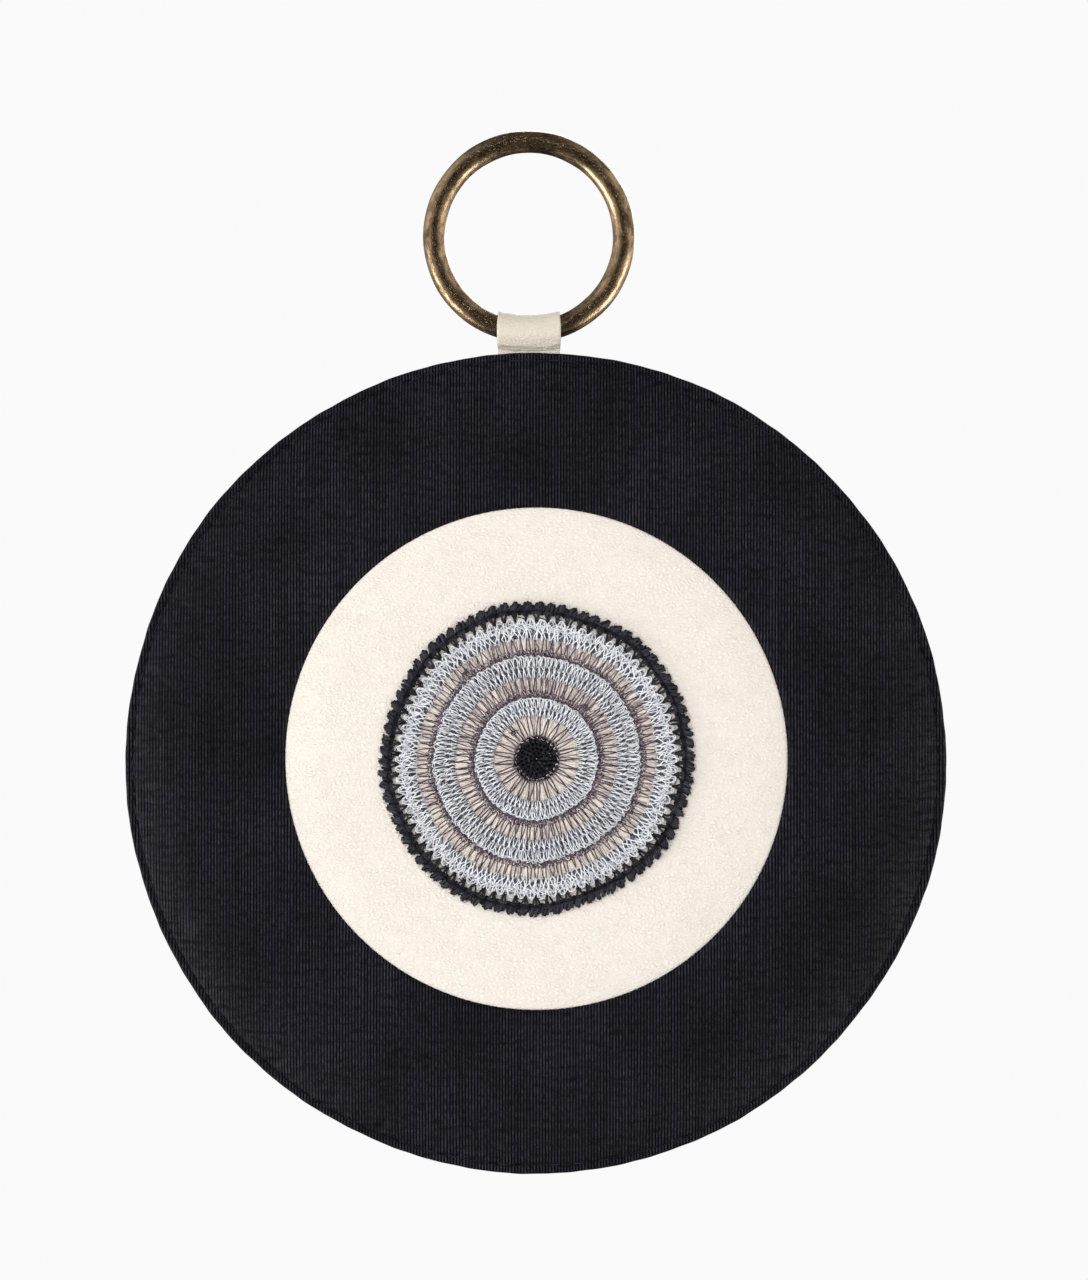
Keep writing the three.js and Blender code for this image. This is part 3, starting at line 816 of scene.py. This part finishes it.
def silver_outer():
    """The last silver round: a row of posts, and the round-topped arches that stand on them."""
    threads = Threads(4)
    posts, arches = (36.3, 40.3), (39.4, 42.55)
    # Dark threads under the round: painted shadow inside it.
    fuzz(threads, 900, (36.6, 41.4), 0.5, (0.15, 0.3), 0.0, lean=0.8)
    for first in (-0.25, 0.25):
        work(threads, PICOTS, posts, POST, 0.4, 0.9, 0.1, first=first)
        work(threads, PICOTS, posts, mirrored(POST), 0.4, 0.8, 0.1, first=first + 0.04)
        work(threads, PICOTS, posts, SLANT, 0.38, 0.75, 0.14, first=first)
    for size, shade in ((1.0, 0.85), (0.5, 0.65)):
        arch = [(-0.42 * size, -0.1, 0.5), (-0.42 * size, 0.4, 1.0), (-0.26 * size, 0.84, 1.15)]
        arch = arch + [(0.0, 0.6 + 0.4 * size, 1.1)] + [(-a, o, h) for a, o, h in reversed(arch)]
        work(threads, PICOTS, arches, arch, 0.38, shade, 0.06, bends=10)
    cross = [(-0.5, 0.5, 0.4), (-0.25, 0.45, 1.0), (0.1, 0.2, 1.05), (0.34, -0.1, 0.5)]
    for strand, first in ((cross, 0.0), (mirrored(cross), 0.0), (cross, 0.45), (mirrored(cross), 0.5)):
        work(threads, PICOTS, arches, strand, 0.33, 0.7, 0.12, first=first)
    return dress(threads.make("silver_outer"), "silver", "silver_cord", "silver_round_outer")


def ridge(threads, count, band):
    """The dark root of a lace round: small knotted stitches, some painted pale as painted highlights where
    they catch the light.
    """
    cross = [(-0.4, 0.0, 0.3), (-0.15, 0.3, 0.5), (0.15, 0.7, 0.5), (0.4, 1.0, 0.25)]
    over = [(-0.3, 0.5, 0.25), (-0.1, 0.62, 0.55), (0.15, 0.74, 0.55), (0.35, 0.95, 0.25)]
    fuzz(threads, count * 3, (band[0], band[0] + 1.0), 0.22, (0.15, 0.3), 0.05, lean=1.2)
    # The over strands are painted pale: painted highlights.
    for strand, shade in ((cross, 0.0), (mirrored(cross), 0.3), (over, 0.8), (mirrored(over), 0.0)):
        work(threads, count, band, strand, 0.26, shade, 0.15, bends=6, shadow=0.2)


def lace(name, node, pairs, band, root, haze, kept, knot_at):
    """A lace round: a dark root, legs in pairs that lean together at the top, a haze of fine threads, and
    under them pale threads flat on the leather between the legs, painted light that brightens that ground."""
    threads = Threads(4)
    inner, outer = band
    ridge(threads, pairs * 2, (inner - 0.1, inner + root))
    for leg in (LEG, mirrored(LEG)):
        work(threads, pairs, band, leg, 0.34, 0.0, 0.07, shadow=0.0)
    # Pale threads flat on the leather: painted light on the ground between the legs.
    fuzz(threads, 620, band, 0.36, (0.0, 0.06), 1.0, lean=0.1)
    fuzz(threads, haze, band, 0.16, (0.12, 0.3), 0.8, kept, 0.12)
    fuzz(threads, haze // 3, band, 0.13, (0.15, 0.4), 0.4, kept, 0.25)
    knot(threads, knot_at, inner + 0.45 * (outer - inner))
    return dress(threads.make(name), "mauve", "mauve_lurex", node)


def lace_inner():
    """The first lace round starts with pale links over the edge of the pupil, and is worked in spokes."""
    threads = Threads(4)
    spokes, band = 25, (6.4, 13.2)
    link = [(-0.45, 0.0, 0.5), (-0.2, -0.05, 1.0), (0.15, -0.02, 1.1), (0.3, 0.07, 0.7), (0.36, 0.16, 0.3)]
    back = [(-0.4, 0.02, 0.3), (-0.15, 0.07, 0.8), (0.15, 0.1, 0.8), (0.4, 0.03, 0.4)]
    for strand, thick, shade in ((link, 0.32, 0.6), (back, 0.3, 0.1), (mirrored(link), 0.28, 0.15)):
        work(threads, spokes, band, strand, thick, shade, shadow=0.2)
    for leg in (LEG, mirrored(LEG)):
        work(threads, spokes, band, leg, 0.38, 0.05, 0.035, shadow=0.0)
    rungs = 13
    for rung in range(rungs):
        out = (rung + 0.7) / rungs
        wide = 0.2 + 0.12 * out
        bar = [(0.5 - wide, out, 0.1), (0.5, out + 0.01, 0.2), (0.5 + wide, out, 0.1)]
        work(threads, spokes, band, bar, 0.17, 0.95, 0.05, bends=5, shadow=0.0)
    # Pale threads flat on the leather: painted light on the ground between the legs.
    fuzz(threads, 240, band, 0.36, (0.0, 0.06), 1.0, lean=0.1)
    fuzz(threads, 70, band, 0.1, (0.1, 0.4), 0.5, lean=0.1)
    knot(threads, math.radians(130), 10.5)
    return dress(threads.make("lace_inner"), "mauve", "mauve_lurex", "lace_round_inner")


def picot_edge():
    """The black edging: a chain round the rim, and on it round picots that lean over one another."""
    threads = Threads(6)
    band = (43.9, 47.5)
    for wrap in np.linspace(-0.36, 0.36, 6):
        bulge = 1 - 0.42 * (abs(wrap) / 0.36) ** 2
        ring = []
        for t in np.linspace(0, TURN, 11):
            out = 0.3 + 0.7 * bulge * (0.5 - 0.5 * math.cos(t))
            high = 0.8 + 0.6 * bulge * math.sin(t)
            ring.append((wrap - 0.45 * (out - 0.3), out, high))
        work(threads, PICOTS, band, ring, 0.8, 0.45, 0.06, first=0.5, bends=12)
    for offset in (-0.18, 0.0, 0.18):
        top = offset * 1.6
        leg = [(offset * 0.4, -0.6, 1.0), (offset * 0.8, -0.3, 1.3), (top, 0.05, 1.2), (top, 0.4, 0.7)]
        work(threads, PICOTS, band, leg, 0.66, 0.35, 0.05, first=0.5)
    for out in (0.08, 0.32):
        half = [(-0.55, out - 0.06, 0.6), (-0.2, out + 0.05, 1.1)]
        chain = half + mirrored(reversed(half))
        work(threads, PICOTS, band, chain, 0.95, 0.35, 0.03, first=0.5)
    fuzz(threads, 160, (45.0, 48.1), 0.08, (0.3, 1.0), 0.5, lean=0.8)
    return dress(threads.make("picot_edge"), "cotton", "black_cotton", "picot_edging")


def pupil():
    """The black middle: tight rounds of small stitches about a hole."""
    threads = Threads(5)
    for count, inner, outer in ((8, 0.95, 2.4), (15, 2.1, 3.8), (22, 3.5, 5.2), (29, 4.9, 6.6)):
        band = (inner, outer)
        work(threads, count, band, POST, 0.6, 0.3, 0.05)
        work(threads, count, band, mirrored(POST), 0.6, 0.3, 0.05)
        work(threads, count, band, CHAIN, 0.6, 0.5, 0.05)
    fuzz(threads, 130, (0.35, 6.5), 0.5, (0.2, 0.4), 0.1)
    return dress(threads.make("pupil_stitches"), "cotton", "black_cotton", "pupil_rosette")


def tacking():
    """Slip stitches that hold the eye to the leather, under the edging's legs."""
    threads = Threads(4)
    stitch = [(-0.2, 0.0, 0.1), (-0.08, 0.4, 0.3), (0.08, 0.6, 0.3), (0.2, 1.0, 0.1)]
    work(threads, PICOTS // 2, (42.2, 43.0), stitch, 0.3, 0.4, 0.04)
    stitches = threads.make("tacking_stitches")
    return dress(stitches, "black_thread", "black_thread", "doily_tacking_thread")


def thin_on_left(least, most):
    """The share of loose threads at an angle. There are fewer on the left, where the leather shows."""
    return lambda angle: least + (most - least) * np.clip(0.62 + 0.6 * np.cos(angle - 1.0), 0, 1)


def crocheted_eye():
    pupil()
    lace_inner()
    silver_round("silver_inner", "silver_round_inner", 72, 13.0, 18.4)
    kept = thin_on_left(0.05, 0.95)
    lace("lace_middle", "lace_round_middle", 75, (18.4, 24.9), 2.3, 420, kept, math.radians(47))
    silver_round("silver_middle", "silver_round_middle", 110, 24.7, 31.1)
    lace("lace_outer", "lace_round_outer", 92, (31.0, 36.8), 2.1, 620, kept, math.radians(130))
    silver_outer()
    picot_edge()
    tacking()


# ---- the ring and the tab ----
def brass_ring():
    """The ring, with the slight dents of a cast one. u of its map is the length round it."""
    long_way, short_way = 300, 40
    u = np.arange(long_way + 1) / long_way
    v = np.arange(short_way + 1) / short_way
    angle, around = np.meshgrid(u[:-1] * TURN, v[:-1] * TURN + math.pi / 2, indexing="ij")
    dents = 0.035 * np.sin(7 * angle + 1.2 * np.sin(around))
    dents = dents + 0.03 * np.sin(13 * angle + 2 * np.cos(around) + 2)
    mean_depth = 0.05
    wire = WIRE_R - mean_depth + dents
    radius = RING_R + wire * np.cos(around)
    x = RING_CENTRE[0] + radius * np.cos(angle)
    z = RING_CENTRE[2] + radius * np.sin(angle)
    points = np.stack([x, wire * np.sin(around), z], axis=-1).reshape(-1, 3)
    faces = grid_faces(long_way, short_way, wrap_rows=True)
    a0, b0 = np.meshgrid(u[:-1], v[:-1], indexing="ij")
    a1, b1 = a0 + 1 / long_way, b0 + 1 / short_way
    length = TURN * RING_R
    corners = [(a0, b0), (a0, b1), (a1, b1), (a1, b0)]
    uv = np.stack([np.stack([a * length, b], axis=-1) for a, b in corners], axis=-2)
    obj = make_object("brass_ring", points, [faces], [uv])
    return dress(obj, "brass", "antique_brass", "hang_ring", body="ring")


def tab_profile():
    """The strap's middle line from the side, as (y, z) about the wire: up in front, round it and down."""
    middle = WIRE_R + TAB_GAP + LEATHER / 2
    ply = SKIVED / 2 + 0.02
    tail = TAIL_Z - WIRE_Z
    flex = FLEX_Z - WIRE_Z
    rise = [(-ply, tail), (-ply, tail * 0.75 + flex * 0.25), (-ply, flex - 1.2), (-ply - 0.03, flex - 0.3)]
    rise += [(-ply - 0.35, flex + 0.35), (-1.5, flex + 1.15)]
    loop = [math.radians(a) for a in range(-130, -411, -20)]
    turn = [(middle * math.cos(a), middle * max(math.sin(a), math.sin(a) * TAB_SLACK)) for a in loop]
    fall = [(-y, z) for y, z in reversed(rise)]
    return smooth_path(np.array(rise + turn + fall), 170)


def tab_strap():
    """The leather tab, one strip folded round the wire, whose ends go down into the seam of the rim."""
    line = tab_profile()
    flex = FLEX_Z - WIRE_Z
    tangent = unit(np.gradient(line, axis=0))
    outward = np.stack([-tangent[:, 1], tangent[:, 0]], axis=-1)
    blend_in = np.clip((line[:, 1] - flex + 0.4) / 1.8, 0, 1)
    half = (SKIVED + (LEATHER - SKIVED) * blend_in) / 2
    across = np.concatenate([[-1, -0.992, -0.975], np.linspace(-0.94, 0.94, 37), [0.975, 0.992, 1]])
    round_edge = np.sqrt(np.clip(1 - ((np.abs(across) - 0.95) / 0.052).clip(0, 1) ** 2, 0.08, 1))
    rows = []
    for share, edge in zip(across, round_edge):
        x = share * TAB_W / 2
        sides = [line + outward * (half * edge)[:, None], (line - outward * (half * edge)[:, None])[::-1]]
        loop = np.concatenate(sides)
        y, z = loop[:, 0], loop[:, 1]
        along = math.sqrt(RING_R**2 - x**2)
        followed = z * RING_R / along + (RING_R - along) * 0.5
        hug = np.clip((z - (flex + 0.2)) / 1.6, 0, 1)
        hug = hug * hug * (3 - 2 * hug)
        narrow = 1 - 0.022 * (1 - hug) - 0.03 * np.clip(z / WIRE_R, 0, 1) ** 2
        slump = 0.1 * np.exp(-(((z - flex - 1.4) / 0.8) ** 2)) * np.sin(x * 0.9 + 1.0)
        waist = flex + 0.75 + 0.15 * math.sin(0.4 * x + 0.5)
        fold = 0.2 * np.exp(-(((z - waist) / 0.4) ** 2))
        pinch = 0.07 * math.exp(-(((x - 5.4) / 0.5) ** 2)) * hug
        y = y + np.sign(y) * (slump - fold - pinch) * np.clip(np.abs(y) / 0.4 - 0.5, 0, 1)
        rows.append(np.stack([x * narrow, y, WIRE_Z + z + (followed - z) * hug], axis=-1))
    rows = np.array(rows)
    faces = grid_faces(len(rows), rows.shape[1], flip=True)
    n = rows.shape[1]
    i = np.arange(n // 2 - 1)
    left = np.stack([i, i + 1, n - 2 - i, n - 1 - i], axis=-1)
    right = (left + (len(rows) - 1) * n)[:, ::-1]
    obj = make_object("tab_strap", rows.reshape(-1, 3), [faces, left, right])
    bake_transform(obj)
    return dress(obj, "tab", "cream_leather", "tab_loop", "tab_tail", body=None)


# ---- what stays as the CAD made it ----
def dress_hidden_nodes():
    """The layers inside the disc keep their CAD shapes."""
    looks = {"wadding": "wadding", "stiffener_board": "board", "panel_interlining": "interlining"}
    for node, look in looks.items():
        for used in frame["nodes"][node].material_slots:
            used.material = LOOKS[look]


# ---- the studio, in metres ----
CAMERA_PLACE = (0.00458, -1.0828, -0.1483)
LENS = 100
AIM = (0.0, 0.0, -0.15)
FLOOR_R, FLOOR_Z = 3.0, -1.0


def camera():
    """Square on to the face, far enough back for the whole ornament."""
    data = bpy.data.cameras.new("camera")
    data.lens = LENS
    obj = bpy.data.objects.new("camera", data)
    obj.location = CAMERA_PLACE
    obj.rotation_euler = (math.pi / 2, 0, 0)
    bpy.context.scene.collection.objects.link(obj)
    bpy.context.scene.camera = obj


def area_light(name, place, size, power, tall=None, glossy=True, diffuse=True, aim=AIM):
    """A soft light. One that is not glossy fills in without a reflection of itself in the brass, and one that
    is not diffuse is only that reflection."""
    data = bpy.data.lights.new(name, "AREA")
    data.energy = power
    data.size = size
    if tall:
        data.shape = "RECTANGLE"
        data.size_y = tall
    obj = bpy.data.objects.new(name, data)
    obj.location = place
    obj.visible_glossy = glossy
    obj.visible_diffuse = diffuse
    away = np.array(place, float) - np.array(aim, float)
    flat = math.hypot(away[0], away[1])
    obj.rotation_euler = (math.atan2(flat, away[2]), 0, math.atan2(away[1], away[0]) + math.pi / 2)
    bpy.context.scene.collection.objects.link(obj)


def floor():
    """A pale studio floor, a metre below, out of the picture and not mirrored in the brass."""
    corners = 96
    angle = np.arange(corners) * TURN / corners
    points = np.stack([FLOOR_R * np.cos(angle), FLOOR_R * np.sin(angle), FLOOR_Z + 0 * angle], axis=-1)
    obj = make_object("floor", points / MM, [np.arange(corners)[None]])
    look = fibre_look("studio_floor", (0.72, 0.72, 0.72), (0.76, 0.76, 0.76), 40.0)
    obj.data.materials.append(look)
    obj.visible_glossy = False


def world():
    """The camera sees a near-white backdrop. The light is a studio with bright sides, dark elsewhere."""
    sides_from, sides_to, dim, bright = 0.3, 0.97, 0.1, 1.4
    made = bpy.data.worlds.new("studio")
    made.use_nodes = True
    tree = made.node_tree
    tree.nodes.clear()
    link = tree.links.new

    def node(kind, **settings):
        new = tree.nodes.new("ShaderNode" + kind)
        for key, value in settings.items():
            setattr(new, key, value)
        return new

    direction = node("TexCoord")
    split = node("SeparateXYZ")
    link(direction.outputs["Generated"], split.inputs[0])
    facing = node("Math", operation="ABSOLUTE")
    link(split.outputs["X"], facing.inputs[0])
    shade = node("MapRange")
    for socket, value in enumerate((sides_from, sides_to, dim, bright), 1):
        shade.inputs[socket].default_value = value
    link(facing.outputs[0], shade.inputs[0])
    studio, backdrop = node("Background"), node("Background")
    link(shade.outputs[0], studio.inputs["Strength"])
    backdrop.inputs["Color"].default_value = (0.956, 0.956, 0.956, 1)
    path, mix, out = node("LightPath"), node("MixShader"), node("OutputWorld")
    link(path.outputs["Is Camera Ray"], mix.inputs[0])
    link(studio.outputs[0], mix.inputs[1])
    link(backdrop.outputs[0], mix.inputs[2])
    link(mix.outputs[0], out.inputs["Surface"])
    bpy.context.scene.world = made


def studio():
    camera()
    world()
    floor()
    area_light("left", (-1.25, -0.3, -0.75), size=0.6, power=13, tall=1.0)
    area_light("right", (1.25, -0.3, -0.75), size=0.6, power=11, tall=1.0, diffuse=False)
    area_light("top", (-0.8, -1.0, 1.0), size=1.0, power=8, glossy=False)
    area_light("front", (-0.3, -2.0, 0.2), size=1.8, power=32, glossy=False)
    area_light("back", (0.5, 1.7, 0.7), size=1.3, power=20)
    area_light("ceiling", (0.0, 1.9, 1.4), size=2.0, power=45, glossy=False, aim=(0.0, 1.5, -1.0))
    bpy.context.scene.view_settings.view_transform = "Standard"


studio()
front_cover()
back_cover()
iris_leather()
topstitching("topstitch_front", -1, "topstitch_needle_thread")
topstitching("topstitch_back", 1, "topstitch_bobbin_thread")
iris_seam()
crocheted_eye()
brass_ring()
tab_strap()
dress_hidden_nodes()
